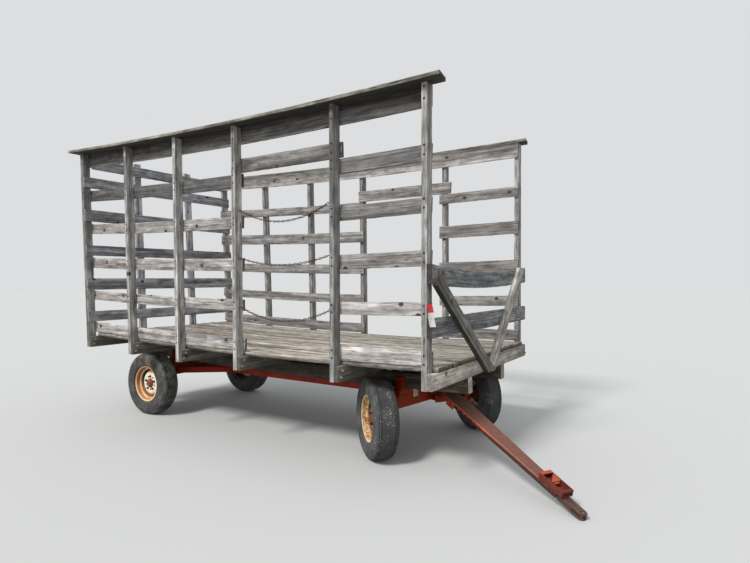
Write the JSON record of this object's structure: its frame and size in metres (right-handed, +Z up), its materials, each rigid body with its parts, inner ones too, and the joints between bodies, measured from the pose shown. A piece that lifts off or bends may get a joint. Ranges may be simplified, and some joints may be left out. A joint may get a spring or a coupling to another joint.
{
  "type": "hay wagon",
  "caption": "Farm hay wagon: slatted timber rack with side doorways and a plank deck on a steel running gear, with steered front wheels and a hinged tongue.",
  "frame": {"origin": "on the ground, under the middle of the whole parked length and width", "axes": "+X towards the front of the bed, +Y the wagon's left, +Z up"},
  "size_m": [6.4134, 2.6, 3.389],
  "materials": {
    "deck_wood": "weathered, warm grey",
    "sill_wood": "weathered, brown grey",
    "post_wood": "weathered, pale grey",
    "board_wood": "weathered, grey",
    "dark_wood": "weathered, blue grey",
    "cap_wood": "weathered, with lichen",
    "orange_paint": "faded orange red over rust",
    "red_paint": "faded dark red",
    "rusty_steel": "rusted",
    "chain_steel": "rusted",
    "pale_plate": "bare, dull",
    "tyre_rubber": "dusty black",
    "rim_paint": "cream, rust showing through",
    "hub_steel": "rust red"
  },
  "bodies": {
    "wagon": {"deck_planks": "deck_wood", "main_sills": "sill_wood", "cross_sills": "sill_wood", "right_posts": "post_wood", "left_posts": "post_wood", "right_boards": "board_wood", "left_boards": "board_wood", "right_toe_boards": "board_wood", "left_toe_boards": "board_wood", "right_cap": "cap_wood", "left_cap": "cap_wood", "rear_posts": "dark_wood", "rear_boards": "dark_wood", "front_boards": "dark_wood", "front_braces": "dark_wood", "door_chains": "chain_steel", "chain_eyes": "chain_steel", "sill_block": "sill_wood", "front_bolster": "orange_paint", "rear_bolster": "orange_paint", "bolster_plate": "pale_plate", "front_axle": "orange_paint", "rear_axle": "orange_paint", "reach": "red_paint", "front_hounds": "red_paint", "rear_hounds": "red_paint"},
    "steering_yoke": {"steering_yoke": "orange_paint", "hinge_pin": "rusty_steel"},
    "tongue": {"tongue_channel": "orange_paint", "hitch_box": "orange_paint", "hitch_clevis": "rusty_steel", "hitch_latch": "orange_paint"},
    "right_knuckle": {"right_knuckle": "orange_paint"},
    "left_knuckle": {"left_knuckle": "orange_paint"},
    "right_tie_rod": {"right_tie_rod": "rusty_steel"},
    "left_tie_rod": {"left_tie_rod": "rusty_steel"},
    "front_right_wheel": {"front_right_tyre": "tyre_rubber", "front_right_rim": "rim_paint", "front_right_hub": "hub_steel"},
    "front_left_wheel": {"front_left_tyre": "tyre_rubber", "front_left_rim": "rim_paint", "front_left_hub": "hub_steel"},
    "rear_right_wheel": {"rear_right_tyre": "tyre_rubber", "rear_right_rim": "rim_paint", "rear_right_hub": "hub_steel"},
    "rear_left_wheel": {"rear_left_tyre": "tyre_rubber", "rear_left_rim": "rim_paint", "rear_left_hub": "hub_steel"}
  },
  "joints": [
    {"name": "tongue_steer", "type": "hinge", "parent": "wagon", "child": "steering_yoke", "pos_m": [1.5165, -0.0133, 0.441], "axis": [0, 0, 1], "range_deg": [0, 49.4]},
    {"name": "tongue_lift", "type": "hinge", "parent": "steering_yoke", "child": "tongue", "pos_m": [1.6713, -0.1146, 0.547], "axis": [-0.5476, -0.8368, 0], "range_deg": [0, 22]},
    {"name": "right_wheel_steer", "type": "hinge", "parent": "wagon", "child": "right_knuckle", "pos_m": [1.33141, -0.64286, 0.385], "axis": [0, 0, 1], "range_deg": [0, 60.3]},
    {"name": "right_tie_rod_pivot", "type": "hinge", "parent": "right_knuckle", "child": "right_tie_rod", "pos_m": [1.18801, -0.51821, 0.437], "axis": [0, 0, 1], "range_deg": [-65.15, 0]},
    {"name": "left_wheel_steer", "type": "hinge", "parent": "wagon", "child": "left_knuckle", "pos_m": [1.52356, 0.64286, 0.385], "axis": [0, 0, 1], "range_deg": [0, 60.3]},
    {"name": "left_tie_rod_pivot", "type": "hinge", "parent": "left_knuckle", "child": "left_tie_rod", "pos_m": [1.36946, 0.754, 0.437], "axis": [0, 0, 1], "range_deg": [-64.14, 0]},
    {"name": "front_right_wheel_spin", "type": "hinge", "parent": "right_knuckle", "child": "front_right_wheel", "pos_m": [1.22972, -0.75984, 0.385], "axis": [0.6561, 0.7547, 0], "continuous": true},
    {"name": "front_left_wheel_spin", "type": "hinge", "parent": "left_knuckle", "child": "front_left_wheel", "pos_m": [1.61423, 0.76858, 0.385], "axis": [0.585, 0.8111, 0], "continuous": true},
    {"name": "rear_right_wheel_spin", "type": "hinge", "parent": "wagon", "child": "rear_right_wheel", "pos_m": [-2.12252, -0.82, 0.385], "axis": [0, 1, 0], "continuous": true},
    {"name": "rear_left_wheel_spin", "type": "hinge", "parent": "wagon", "child": "rear_left_wheel", "pos_m": [-2.12252, 0.82, 0.385], "axis": [0, 1, 0], "continuous": true}
  ],
  "couplings": [
    {"joint": "right_wheel_steer", "follows": "tongue_steer", "ratio": 1.2105},
    {"joint": "right_tie_rod_pivot", "follows": "tongue_steer", "ratio": -1.3087},
    {"joint": "left_wheel_steer", "follows": "tongue_steer", "ratio": 1.2105},
    {"joint": "left_tie_rod_pivot", "follows": "tongue_steer", "ratio": -1.2883}
  ]
}
